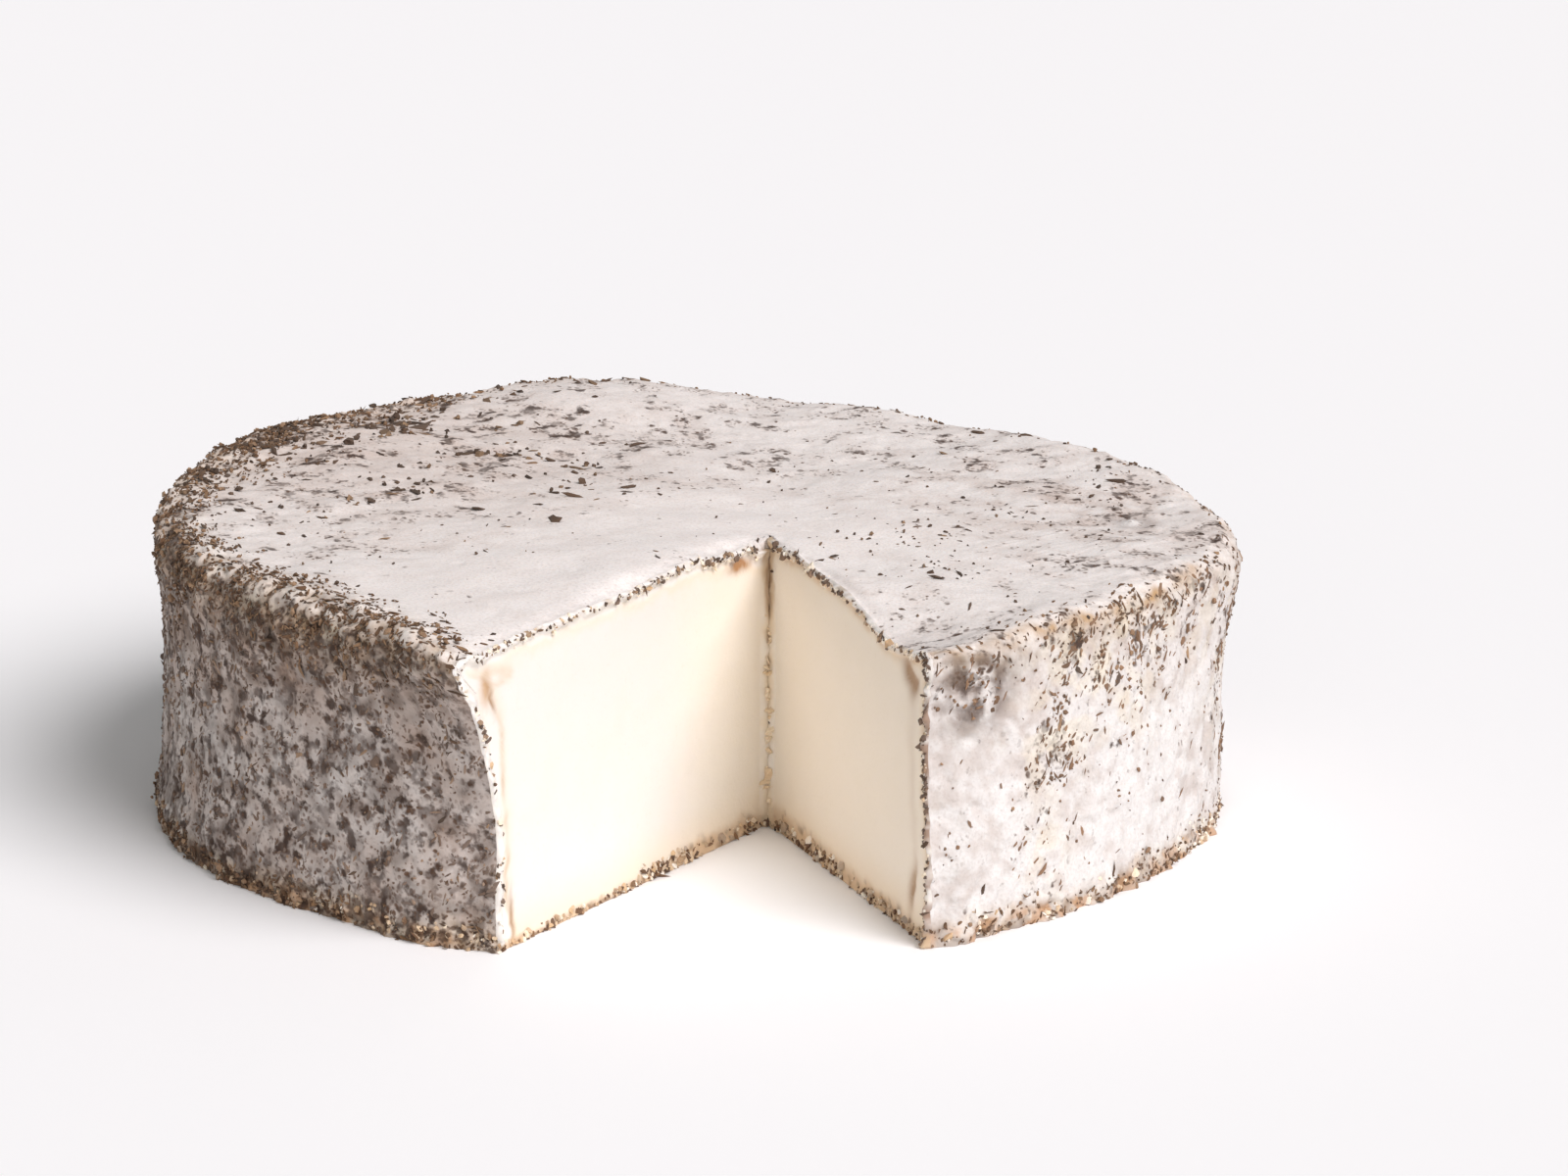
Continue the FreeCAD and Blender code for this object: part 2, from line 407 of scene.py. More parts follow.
    def colours(self):
        """Linear colour of the rind, and the share of it that small dark specks cover."""
        grid, top, side, up = self.smooth, self.on_top, 1 - self.on_top, self.up
        shade, plain, drift = self.shade, 1 - self.shade, self.drift
        patchy = 0.5 + 0.5 * rough(grid, 7, 33, 4)
        blotchy = 0.5 + 0.5 * rough(grid, 3.6, 34, 3)
        low = ease(self.lumps, 0.12, -0.22)  # brown shows between the lumps, white on them
        # Greyer where the shade share is high: grey mould on the left, painted shade at the far right of the
        # front.
        grey_side = np.clip(shade * (0.45 + 0.80 * patchy), 0, 1)
        # Soft grey mottling on the bright side is painted shade, as between the lumps of the mould.
        dabs = 0.5 + 0.5 * rough(grid, 2.3, 35)
        grey_side += plain * (0.13 + 0.40 * ease(0.35 * patchy + 0.65 * dabs, 0.42, 0.70))
        grey_side += 0.22 * ease_mm(up, 26, 46)
        # At the back left of the top: darker mould and more herbs, and in part a painted shadow, as of the
        # cut wedge lying on the top.
        back_left_herbs_and_shadow = spot(grid, 140, 55, 52, 70)
        grey_top = 0.02 + 0.30 * ease(patchy, 0.30, 0.85) + 0.20 * ease(blotchy, 0.45, 0.75)
        grey_top = grey_top + 0.70 * back_left_herbs_and_shadow
        grey_top += 0.45 * spot(grid, 0, 55, 36, 78) * ease(0.5 * blotchy + 0.5 * patchy, 0.35, 0.65)
        # Mould from white to grey, creamy where herbs have drifted. The grey also holds painted shade at the
        # far right of the side and in the soft mottling between lumps, and a painted shadow at the back left
        # of the top.
        tone = blend(WHITE_MOULD, GREY_MOULD, between(grey_side, grey_top, top))
        tone = blend(tone, TOP_TINT, 0.40 * top)
        tone = blend(tone, TOP_PALE, 0.55 * top * ease_mm(self.from_left, 55, 15))
        bright = plain * side
        tone = blend(tone, CREAMY, 0.55 * bright * drift * ease(blotchy, 0.40, 0.7))
        # Brown patches, most of them on the left, and the smudge on the right wall.
        brown = 0.85 * shade * ease(blotchy, 0.42, 0.75) * side
        brown += 0.30 * side * drift * ease(blotchy, 0.5, 0.8) * low
        brown += 0.35 * shade * side * ease_mm(up, 34, 47) * ease(blotchy, 0.3, 0.6)
        brown += 0.40 * shade * side * ease(rough(grid, 15, 46), 0.1, 0.7) * ease(blotchy, 0.3, 0.6)
        brown += 2.6 * spot(grid, -64, 44, 6.5) * ease(0.5 * blotchy + 0.5 * dabs, 0.30, 0.58)
        brown += 0.35 * spot(grid, -67, 22, 4) * ease(blotchy, 0.3, 0.6)
        tone = blend(tone, BROWN_MOULD, np.clip(0.72 * brown, 0, 1))
        # The crusts of herbs at the rim and the foot.
        crust = self.at_rim * (0.15 + 0.85 * self.crust) * (1 - 0.4 * top) + 1.0 * self.at_foot
        crust = np.clip(crust * (0.30 + 0.45 * self.crust + 0.6 * low), 0, 1)
        gaps = ease(rough(grid, 3.0, 126), -0.75, 0.2)
        tone = blend(tone, CREAMY, 0.60 * crust * (1 - gaps))
        crust *= gaps
        tone = blend(tone, TAN_CRUST, 0.85 * crust)
        tone = blend(tone, BROWN_MOULD, np.clip(0.85 * crust * ease(blotchy, 0.42, 0.70), 0, 1))
        orange = spot(grid, -51, 2, 6) + 0.7 * spot(grid, -63, 1, 5)
        orange = (orange + 0.75 * self.at_foot) * ease(rough(grid, 3.2, 123), -0.2, 0.3)
        tone = blend(tone, FOOT_ORANGE, np.clip(orange * ease_mm(up, 4.5, 2), 0, 0.8))
        # A golden line along the ridge of the rim, and the knob on the top.
        gold = spot(grid, -52, 53.5, 13) + spot(grid, -36, 54.5, 11)
        gold += 0.6 * ease(rough(grid, 20, 124), 0.0, 0.6)
        ridge = bell(self.past_rim + 1.2 * MM * rough(grid, 6, 44), 0.0, 1.5 * MM)
        gold *= ridge * ease(rough(grid, 3, 45), -0.35, 0.4)
        tone = blend(tone, GOLD_CRUST, np.clip(gold, 0, 1))
        button = spot(grid, *KNOB, 1.9, 84)
        ring = spot(grid, *KNOB, 3.6, 84) - 1.3 * button
        tone = blend(tone, KNOB_RING, np.clip(1.1 * ring, 0, 1))
        tone = blend(tone, WHITE_MOULD, np.clip(button, 0, 1))
        # Specks: in clumps on the side, in drifts on the top.
        clumps = ease(self.streak + 0.6 * rough(grid, 5, 50), -0.2, 0.8)
        smoky = 0.52 + 0.50 * ease(rough(grid, 5.5, 51), -0.35, 0.45)
        specks = side * (0.03 + smoky * shade + 0.95 * plain * drift * clumps)
        low_or_high = ease_mm(up, 34, 50) + ease_mm(up, 14, 5)
        specks += 0.22 * side * shade * low_or_high
        drifts = ease(rough(grid, 16, 49), 0.05, 0.7)
        on_right = ease_mm(self.from_left, 22, 72) * ease(patchy, 0.35, 0.60)
        in_drifts = 0.15 * back_left_herbs_and_shadow + (0.26 * drifts + 0.75 * on_right) * ease(blotchy, 0.33, 0.62)
        specks += top * in_drifts
        specks += 0.35 * crust
        return tone, np.clip(specks, 0, 1)


# ---------------- meshes


def ring_faces(first, second):
    """Faces between two rings of vertex numbers; one may have twice as many gaps as the other."""
    if len(first) == len(second):
        faces = np.stack((first[:-1], second[:-1], second[1:], first[1:]), axis=1)
        return faces.tolist()
    if len(second) > len(first):
        left, right = first[:-1], first[1:]
        near, middle, far = second[:-1:2], second[1::2], second[2::2]
        corners = ((left, near, middle), (left, middle, right), (right, middle, far))
    else:
        left, right = second[:-1], second[1:]
        near, middle, far = first[:-1:2], first[1::2], first[2::2]
        corners = ((near, left, middle), (middle, left, right), (middle, right, far))
    return np.concatenate([np.stack(c, axis=1) for c in corners]).tolist()


def sheet_faces(rings):
    """Faces between each ring and the next."""
    return [face for pair in zip(rings, rings[1:]) for face in ring_faces(*pair)]


def stand(name, data, way=None):
    """Puts a mesh, a light or a camera in the scene, looking along a way if one is given."""
    thing = bpy.data.objects.new(name, data)
    bpy.context.scene.collection.objects.link(thing)
    if way is not None:
        thing.rotation_mode = "QUATERNION"
        thing.rotation_quaternion = way.to_track_quat("-Z", "Y")
    return thing


def make_mesh(name, points, faces, material, uv, tone, normals=None, specks=None):
    """A smooth mesh object that rides on the root and stands for part of the wheel."""
    mesh = bpy.data.meshes.new(name)
    mesh.from_pydata(points.tolist(), [], faces)
    mesh.polygons.foreach_set("use_smooth", np.ones(len(faces), bool))
    corners = np.zeros(len(mesh.loops), np.int32)
    mesh.loops.foreach_get("vertex_index", corners)
    if uv is not None:
        layer = mesh.uv_layers.new(name="OFBake")
        layer.data.foreach_set("uv", uv(mesh, corners).astype(np.float32).ravel())
    colour = mesh.attributes.new("tone", "FLOAT_COLOR", "POINT")
    rgba = np.concatenate((tone, np.ones((len(tone), 1))), axis=1)
    colour.data.foreach_set("color", rgba.astype(np.float32).ravel())
    if specks is not None:
        share = mesh.attributes.new("specks", "FLOAT", "POINT")
        share.data.foreach_set("value", specks.astype(np.float32))
    mesh.update()
    if normals is not None:
        mesh.normals_split_custom_set_from_vertices(normals.tolist())
    mesh.materials.append(material)
    piece = stand(name, mesh)
    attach(piece, "root")
    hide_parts("cheese_wheel")
    return piece


def column_step(row):
    """How many columns apart the points of a row of the top lie: fewer are needed near the tip."""
    share = max(row / TOP_ROWS, 1.0 / 64)
    return 2 ** min(7, int(-math.log2(share) + 1e-9))


def gather(rows, steps):
    """Numbers the points of rows, each thinned by its own step; also returns where they are."""
    rings, picks, count = [], [], 0
    for row, step in zip(rows, steps):
        columns = np.arange(0, COLUMNS + 1, step)
        rings.append(count + np.arange(len(columns)))
        picks.append(np.stack((np.full(len(columns), row), columns), axis=1))
        count += len(columns)
    return rings, np.concatenate(picks)


def rind_piece(name, rind, rows, steps, material, uv):
    rings, picks = gather(rows, steps)
    at = tuple(picks.T)
    return make_mesh(
        name, rind.grid[at], sheet_faces(rings), material, uv, rind.tone[at],
        normals=rind.normals[at], specks=rind.specks[at],
    )


def flat_uv(mesh, corners):
    """Seen from above."""
    places = np.zeros(len(mesh.vertices) * 3)
    mesh.vertices.foreach_get("co", places)
    plan = places.reshape(-1, 3)[:, :2]
    low = plan.min(axis=0)
    return ((plan - low) / (plan - low).max() * 0.98 + 0.01)[corners]


def strip_uv(mesh, corners):
    """The side unrolled and folded into four strips, one above another."""
    strips = 4
    faces = len(mesh.polygons)
    column = corners % (COLUMNS + 1)
    row = corners // (COLUMNS + 1)
    first = column.reshape(faces, 4).min(axis=1)
    strip = np.repeat(first * strips // COLUMNS, 4)
    across = column * strips / COLUMNS - strip
    down = row / SIDE_ROWS
    return np.stack((0.01 + 0.98 * across, (strip + 0.03 + 0.94 * down) / strips), axis=1)


def base_piece(rind, material):
    """The underside, from the foot in to the tip."""
    foot = rind.grid[-1]
    shares = np.concatenate(([1.0, 0.994, 0.985], np.linspace(0.97, 0.02, BASE_ROWS)))
    crevice = CREVICE / np.linalg.norm(foot - TIP_FOOT, axis=1)
    steps = [2 ** min(7, int(-math.log2(s) + 1e-9)) for s in shares]
    rows = [TIP_FOOT + (foot - TIP_FOOT) * np.maximum(s, crevice)[:, None] for s in shares]
    rings, picks = gather(range(len(rows)), steps)
    sheet = np.stack(rows)
    sheet[..., 2] = 0.0
    points = sheet[tuple(picks.T)]
    shade = 0.35 + 0.3 * rough(points, 9, 53)
    tone = blend(blend(WHITE_MOULD, GREY_MOULD, shade), TAN_CRUST, 0.25 + 0.2 * noise(points, 6, 57))
    specks = np.full(len(points), 0.16)
    return make_mesh(
        "rind_underside", points, sheet_faces(rings), material, flat_uv, tone, specks=specks
    )


# ---------------- the cut faces


class Cut:
    """One cut face: rings of points in from its edge, and an even fill inside the last ring."""

    def __init__(self, rind, column, side):
        self.side = side  # 1 for the right cut and -1 for the left, which faces the other way
        self.along = np.array((*from_tip(rind.directions[column], 1.0), 0.0)) - (*TIP, 0.0)
        self.facing = side * np.array((self.along[1], -self.along[0], 0.0))
        skin = rind.grid[:, column]
        foot, tip = skin[-1], TIP_FOOT
        reach = np.linalg.norm(foot - tip)
        floor = even_rows(np.array((foot, tip + self.along * CREVICE)), int(reach / (0.6 * MM)))
        rise = even_rows(np.array((floor[-1], skin[0])), CREVICE_ROWS)
        self.edge = np.concatenate((skin, floor[1:], rise[1:]))
        self.skin_end = len(skin)
        self.floor_end = len(skin) + len(floor) - 1
        self.place = self.lay_rings(self.flat(self.edge))
        self.faces = self.ring_and_fill_faces()
        self.measure()
        self.points = self.relief_points()

    def flat(self, points):
        """Distance from the tip and height."""
        return np.stack(((points - TIP_FOOT) @ self.along, points[..., 2]), axis=-1)

    def to_space(self, place):
        upward = np.array((0.0, 0.0, 1.0))
        return TIP_FOOT + place[..., :1] * self.along + place[..., 1:] * upward

    def lay_rings(self, edge):
        """Rings at the depths of CUT_RINGS, each drawn in towards a spine along the middle."""
        middle = 27 * MM
        self.reach = edge[: self.skin_end, 0].max()
        spine = np.stack((np.clip(edge[:, 0], middle, self.reach - middle), edge[:, 1] * 0 + middle), axis=1)
        inward = unit(spine - edge)
        rings = edge + inward * CUT_RINGS[:, None, None]
        return np.concatenate((rings.reshape(-1, 2), fill_points(rings[-1])))

    def ring(self, index):
        return index * len(self.edge) + np.arange(len(self.edge))

    def ring_and_fill_faces(self):
        faces = []
        for index in range(len(CUT_RINGS) - 1):
            faces += ring_faces(self.ring(index), self.ring(index + 1))
        last = self.ring(len(CUT_RINGS) - 1)[:-1]
        numbers = np.concatenate((last, np.arange(len(CUT_RINGS) * len(self.edge), len(self.place))))
        loop = list(range(len(last)))[::-1]
        found = delaunay_2d_cdt([Vector(p) for p in self.place[numbers]], [], [loop], 1, 1e-9)
        given = [numbers[source[0]] for source in found[3]]
        faces += [[given[v] for v in face] for face in found[2]]
        return [face if self.side > 0 else face[::-1] for face in faces]

    def measure(self):
        """Distances of each point from the rind, the floor and the tip."""
        self.base = self.to_space(self.place)
        skin = self.place[: self.skin_end]
        wobble = 0.45 * MM * rough(self.base, 3.2, 61 + self.side)
        self.from_rind = distances(self.place, skin) + wobble
        self.from_wall = distances(self.place, skin[TOP_ROWS:]) + wobble
        self.from_foot = self.place[:, 1]
        self.from_tip = self.place[:, 0]
        self.top = self.skin_height(self.reach - 8 * MM)
        outer = ease(self.from_tip, self.reach - 22 * MM, self.reach - 15 * MM)
        self.on_wall = outer * ease(self.from_foot, self.top - 2.5 * MM, self.top - 6 * MM)

    def skin_height(self, out):
        """Height of the top's edge at a distance from the tip."""
        top = self.place[:TOP_ROWS]
        return top[np.abs(top[:, 0] - out).argmin(), 1]

    def relief_points(self):
        """The face as cut: a torn lip of rind, a slight furrow inside it and the knife's drag."""
        base, depth = self.base, self.from_rind / MM
        lip = ease(depth, 2.4, 0.8) * (0.60 + 0.95 * rough(base, 2.2, 65))
        furrow = 0.22 * bell(depth, 2.0, 0.8)
        drag = 0.10 * rough(base * np.array((1, 1, 2.5)), 14, 69)
        drag += 0.04 * rough(base, 2.5, 73)
        filled = 0.85 * ease_mm(self.from_foot, 47, 36) + 0.6 * rough(base, 2.4, 77)
        torn = ease_mm(self.from_tip, 3.4, 1.2) * filled
        foot = ease_mm(self.from_foot, 2.0, 0.3) * 0.5 * rough(base, 2.0, 79)
        out = (lip - furrow + drag + torn + foot - (0.6 if self.side > 0 else 0.3) * self.crease()) * MM
        points = base + out[:, None] * self.facing
        points[: len(self.edge)] = self.edge
        points[:, 2] = np.maximum(points[:, 2], 0.0)
        return points

    def crease(self):
        """The gap between rind and paste near the outer corners, from 0 to 1."""
        up = self.from_foot
        high = ease_mm(up, 20, 44)
        if self.side > 0:
            inset = between(9.0, 7.0, ease_mm(up, 4, 14))
            wide = between(1.2, 1.9, high)
            spans = (
                (self.top - 5.5 * MM, 2.8 * MM, 1.0), (8.5 * MM, 4.0 * MM, 0.9), (28 * MM, 16 * MM, 0.15),
            )
        else:
            inset, wide = between(4.4, 5.6, high), 0.6
            spans = ((self.top - 8.0 * MM, 3.2 * MM, 0.9), (5.0 * MM, 5.0 * MM, 0.7))
        line = bell(self.from_wall / MM, inset, wide)
        near = ease(self.from_tip, self.reach - 26 * MM, self.reach - 16 * MM)
        return line * near * sum(share * bell(up, level, tall) for level, tall, share in spans)

    def mark(self, out, up, wide, tall):
        """1 at a place on the face, fading over a width and a height."""
        return np.exp(-(((self.place - (out, up)) / (wide, tall)) ** 2).sum(-1))

    def rind_width(self):
        """Width of the pale rind along the edge, in millimetres."""
        up = self.from_foot
        if self.side > 0:
            return between(1.9, 2.4, self.on_wall)
        broad = between(2.9, 6.6, ease_mm(up, 22, 46)) + 1.6 * ease_mm(up, 9, 3)
        return between(3.1 + 0.8 * rough(self.base, 5, 80), broad, self.on_wall)

    def tone(self):
        """Colour of curd, of the creamier line under the rind, of the rind and of its crusts, with painted
        light and shade: a paler curd where the left face is brightly lit, a warmer cream where the faces lie
        in shade, and painted shade in the creases.
        """
        base, depth, up = self.base, self.from_rind / MM, self.from_foot
        left = self.side < 0
        band = self.rind_width()
        cream = ease(depth + 0.6 * rough(base, 2.0, 81), band + 2.4, band - 0.3)
        # Away from the tip the left face is paler: painted light where it is brightly lit.
        tone = blend(PASTE, LIT_CURD_PAINTED, left * ease_mm(self.from_tip, 15, 40))
        tone = blend(tone, CREAMLINE, (0.5 if left else 0.7) * cream)
        # A warmer cream over the right face and near the left face's tip: painted shade, as those parts lie
        # in shade.
        if left:
            painted_shade_warmth = 0.15 * ease_mm(self.from_tip, 12, 0.0)
        else:
            painted_shade_warmth = 0.24 * ease_mm(self.from_tip, 2, 14)
        tone = blend(tone, CREAMLINE, 0.75 * ease_mm(up, 11, 0.0) + painted_shade_warmth)
        pale = ease(depth + 0.3 * rough(base, 1.6, 83), band, band - 0.9)
        tone = blend(tone, RIND_LINE, 0.92 * pale)
        if not left:
            tan = ease(depth, 0.5, 1.1) * ease(depth + 0.5 * rough(base, 2.2, 86), 3.3, 2.0)
            tone = blend(tone, CRUST_LIGHT, np.clip((0.40 + 0.5 * noise(base, 2.4, 91)) * tan, 0, 0.7))
            brown = self.on_wall * ease(depth + 0.5 * rough(base, 1.8, 94), 1.9, 1.2)
            brown = brown * ease(rough(base, 2.0, 95) + 0.5 * rough(base, 8, 96), -0.35, 0.25)
            tone = blend(tone, WALL_BROWN, 0.85 * brown)
        seam = bell(depth - band, 0.1, 0.5) * self.on_wall
        seam = (0.55 if left else 0.35) * seam * (0.7 + rough(base, 5, 84))
        tone = blend(tone, TAN_CRUST, np.clip(seam, 0, 1))
        spots = ease(noise(base, 1.4, 85), 0.25, 0.8) * ease(depth, 1.9, 0.8) * (1 - self.on_wall)
        tone = blend(tone, TAN_CRUST, 0.5 * spots)
        # The creases near the outer corners get painted shade, brown as in the gap between rind and paste.
        tone = blend(tone, CREASE_PAINTED_SHADE, np.clip(1.3 * self.crease(), 0, 0.92))
        tone = self.with_bottom_crust(tone, left)
        crevice = ease_mm(self.from_tip + 0.8 * MM * noise(base, 2.5, 93), 3.2, 1.2)
        tone = blend(tone, CREVICE_CURD, 0.7 * crevice)
        tone = blend(tone, CREVICE_TAN, 0.5 * crevice * ease_mm(up, 34, 46))
        return self.with_stains(tone) if left else tone

    def with_bottom_crust(self, tone, left):
        """Adds the browner crust along the floor, thicker towards the tip."""
        base = self.base
        ragged = (0.7 * rough(base, 2.2, 87) + 1.1 * rough(base, 9, 88)) * MM
        near_tip, along_floor = (2.1, 0.85) if left else (2.5, 1.7)
        thick = between(near_tip, along_floor, ease_mm(self.from_tip, 10, 52))
        bottom = ease(self.from_foot + ragged, 2.4 * MM * thick, 0.8 * MM * thick)
        speckled = ease(rough(base, 1.5, 89) + 0.4 * rough(base, 8, 90), 0.0, 0.6)
        tone = blend(tone, CRUST_LIGHT, 0.85 * bottom)
        return blend(tone, CRUST_DARK, 0.75 * bottom * speckled)

    def with_stains(self, tone):
        """Adds the left cut's brown stain near the tip and the tan of its outer corner."""
        level = self.skin_height(10.0 * MM) - 3.3 * MM
        stain = self.mark(10.0 * MM, level, 3.4 * MM, 1.1 * MM)
        stain = stain * (1.4 + 1.2 * rough(self.base, 1.8, 92))
        tone = blend(tone, STAIN_BROWN, np.clip(stain, 0, 0.92))
        corner = self.mark(self.reach - 9.2 * MM, self.top - 6.4 * MM, 1.5 * MM, 2.8 * MM)
        corner = corner * (0.85 + 0.6 * rough(self.base, 1.8, 98))
        return blend(tone, CORNER_TAN, np.clip(corner, 0, 0.85))


def distances(places, path):
    """How far each place lies from the nearest point of a path."""
    tree = KDTree(len(path))
    for index, (out, up) in enumerate(path):
        tree.insert((out, up, 0.0), index)
    tree.balance()
    return np.array([tree.find((out, up, 0.0))[2] for out, up in places])


def fill_points(loop):
    """Points of an even, staggered pattern inside a closed loop and clear of it."""
    low, high = loop.min(axis=0), loop.max(axis=0)
    rows = np.arange(low[1], high[1], CUT_FILL * 0.87)
    pattern = [
        (out, up)
        for row, up in enumerate(rows)
        for out in np.arange(low[0] + row % 2 * CUT_FILL / 2, high[0], CUT_FILL)
    ]
    points = np.array(pattern)
    start, end = loop, np.roll(loop, -1, axis=0)
    out, up = points[:, :1], points[:, 1:]
    spans = (start[:, 1] > up) != (end[:, 1] > up)
    rise = np.where(end[:, 1] == start[:, 1], 1.0, end[:, 1] - start[:, 1])
    crossing = start[:, 0] + (up - start[:, 1]) / rise * (end[:, 0] - start[:, 0])
    inside = (spans & (out < crossing)).sum(axis=1) % 2 == 1
    clear = np.array([np.hypot(*(loop - p).T).min() > 0.6 * CUT_FILL for p in points])
    return points[inside & clear]


def crevice_points(right, left):
    """The narrow wall at the tip, from the right cut's rise to the left cut's."""
    first, last = right.edge[right.floor_end:], left.edge[left.floor_end:]
    sheets = []
    for turn in np.linspace(0.0, 1.0, 6):
        up = between(first[:, 2], last[:, 2], turn)
        x, y = from_tip(between(RIGHT_CUT, LEFT_CUT, turn), CREVICE)
        sheets.append(np.stack((x + 0 * up, y + 0 * up, up), axis=1))
    sheets[0], sheets[-1] = first, last
    return np.stack(sheets)


def paste_piece(right, left, material):
    """Both cut faces and the crevice between them, as one mesh."""
    wall = crevice_points(right, left)
    flat = wall.reshape(-1, 3)
    counts = np.cumsum((0, len(right.points), len(left.points)))
    faces = [[v + count for v in f] for cut, count in zip((right, left), counts) for f in cut.faces]
    rings = counts[-1] + np.arange(len(flat)).reshape(wall.shape[:2])
    for first, second in zip(rings, rings[1:]):
        faces += ring_faces(second, first)
    low = ease_mm(flat[:, 2] + 6 * MM * noise(flat, 4, 97), 46, 28)
    inner_tone = blend(CREVICE_BROWN, CREAMLINE, low)
    turn = np.repeat(np.linspace(0.0, 0.2, len(wall)), wall.shape[1])
    uvs = [cut.place / (210 * MM) + offset for cut, offset in ((right, (0.01, 0.01)), (left, (0.5, 0.01)))]
    uvs.append(np.stack((0.02 + turn, 0.5 + flat[:, 2] / (210 * MM)), axis=1))
    table = np.concatenate(uvs)
    return make_mesh(
        "paste_cut_faces", np.concatenate((right.points, left.points, flat)), faces, material,
        lambda mesh, corners: table[corners], np.concatenate((right.tone(), left.tone(), inner_tone)),
    )


# ---------------- materials


def node(tree, kind, inputs=None, **settings):
    """Adds a shader node; an input given as a socket is linked, and any other is set."""
    made = tree.nodes.new("ShaderNode" + kind)
    for key, value in settings.items():
        setattr(made, key, value)
    for key, value in (inputs or {}).items():
        if isinstance(value, bpy.types.NodeSocket):
            tree.links.new(value, made.inputs[key])
        else:
            made.inputs[key].default_value = value
    return made


def mixed(tree, share, first, second):
    """Colour mix; colours may be sockets or linear colours."""
    first, second = (c if isinstance(c, bpy.types.NodeSocket) else (*c, 1.0) for c in (first, second))
    return node(tree, "Mix", {0: share, 6: first, 7: second}, data_type="RGBA").outputs[2]


def math_node(tree, operation, *values):
    return node(
        tree, "Math", dict(enumerate(values)), operation=operation
    ).outputs[0]


def ranged(tree, value, low, high, to_low=0.0, to_high=1.0):
    limits = {"Value": value, "From Min": low, "From Max": high, "To Min": to_low, "To Max": to_high}
    return node(tree, "MapRange", limits, interpolation_type="SMOOTHSTEP").outputs[0]


def new_material(name):
    material = bpy.data.materials.new(name)
    material.use_nodes = True
    tree = material.node_tree
    tree.nodes.clear()
    return material, tree


def toned_material(name):
    """A new material, its tree, and sockets for the place and for the mesh's own tone."""
    material, tree = new_material(name)
    place = node(tree, "TexCoord").outputs["Object"]
    tone = node(tree, "Attribute", attribute_name="tone").outputs["Color"]
    return material, tree, place, tone


def noise_node(tree, place, size, detail=3.0):
    return node(
        tree, "TexNoise", {"Vector": place, "Scale": 1.0 / size, "Detail": detail}
    ).outputs["Fac"]


def finish_material(tree, colour, roughness, bump, settings):
    inputs = {"Base Color": colour, "Roughness": roughness, **settings}
    if bump:
        inputs["Normal"] = bump
    shader = node(tree, "BsdfPrincipled", inputs)
    node(tree, "OutputMaterial", {"Surface": shader.outputs[0]})


def bump_node(tree, height, depth, strength=1.0):
    return node(
        tree, "Bump", {"Height": height, "Distance": depth, "Strength": strength}
    ).outputs[0]


def dark_specks(tree, place, share, size, seed):
    """Soft-edged spots, one in some of the cells of a pattern; share is how many have one."""
    shifted = node(tree, "VectorMath", {0: place, 1: (seed, seed, seed)}).outputs[0]
    wobble = node(
        tree, "TexNoise", {"Vector": shifted, "Scale": 0.6 / size, "Detail": 2.0}
    ).outputs["Color"]
    centred = node(
        tree, "VectorMath", {0: wobble, 1: (0.5, 0.5, 0.5)}, operation="SUBTRACT"
    ).outputs[0]
    bent = node(
        tree, "VectorMath", {0: centred, 1: (1.3 * size,) * 3, 2: shifted},
        operation="MULTIPLY_ADD",
    ).outputs[0]
    cells = node(tree, "TexVoronoi", {"Vector": bent, "Scale": 1.0 / size})
    chance = node(tree, "SeparateColor", {0: cells.outputs["Color"]})
    has_one = ranged(tree, math_node(tree, "SUBTRACT", share, chance.outputs[0]), 0.0, 0.12)
    reach = math_node(tree, "MULTIPLY_ADD", chance.outputs[1], 0.22, 0.22)
    inside = ranged(tree, math_node(tree, "SUBTRACT", reach, cells.outputs["Distance"]), -0.12, 0.14)
    return math_node(tree, "MULTIPLY", has_one, inside)


def rind_material():
    """Velvety mould over a crumbly skin, with herbs showing dimly through it."""
    material, tree, place, tone = toned_material("rind")
    share = node(tree, "Attribute", attribute_name="specks").outputs["Fac"]
    cloud = noise_node(tree, place, 4.5 * MM, 5.0)
    grain = noise_node(tree, place, 0.55 * MM, 3.0)
    lightened = mixed(tree, ranged(tree, cloud, 0.40, 0.75, 0.0, 0.25), tone, (0.90, 0.86, 0.83))
    greyed = mixed(tree, ranged(tree, grain, 0.42, 0.75, 0.0, 0.25), lightened, (0.40, 0.32, 0.27))
    soft = noise_node(tree, place, 2.2 * MM, 4.0)
    limit = math_node(tree, "MULTIPLY_ADD", share, -0.255, 0.665)
    under = ranged(tree, math_node(tree, "SUBTRACT", soft, limit), 0.0, 0.16)
    strength = ranged(tree, noise_node(tree, place, 5.0 * MM, 2.0), 0.32, 0.62, 0.45, 0.97)
    smudged = mixed(tree, math_node(tree, "MULTIPLY", under, strength), greyed, (0.055, 0.032, 0.023))
    large = dark_specks(tree, place, share, 1.7 * MM, 0.0)
    small = dark_specks(tree, place, share, 0.95 * MM, 0.37)
    veil = ranged(tree, noise_node(tree, place, 3.0 * MM, 2.0), 0.3, 0.7, 0.15, 0.95)
    spotted = mixed(tree, math_node(tree, "MULTIPLY", large, veil), smudged, (0.075, 0.038, 0.022))
    spotted = mixed(tree, math_node(tree, "MULTIPLY", small, veil), spotted, (0.12, 0.062, 0.035))
    height = math_node(tree, "MULTIPLY_ADD", large, 0.5, grain)
    bump = bump_node(tree, height, 0.12 * MM, 0.8)
    finish_material(
        tree, spotted, 0.88, bump,
        {
            "Subsurface Weight": 0.10, "Subsurface Radius": (1.0, 0.8, 0.65),
            "Subsurface Scale": 0.8 * MM, "Sheen Weight": 0.06, "Sheen Roughness": 0.5,
            "Specular IOR Level": 0.2,
        },
    )
    return material


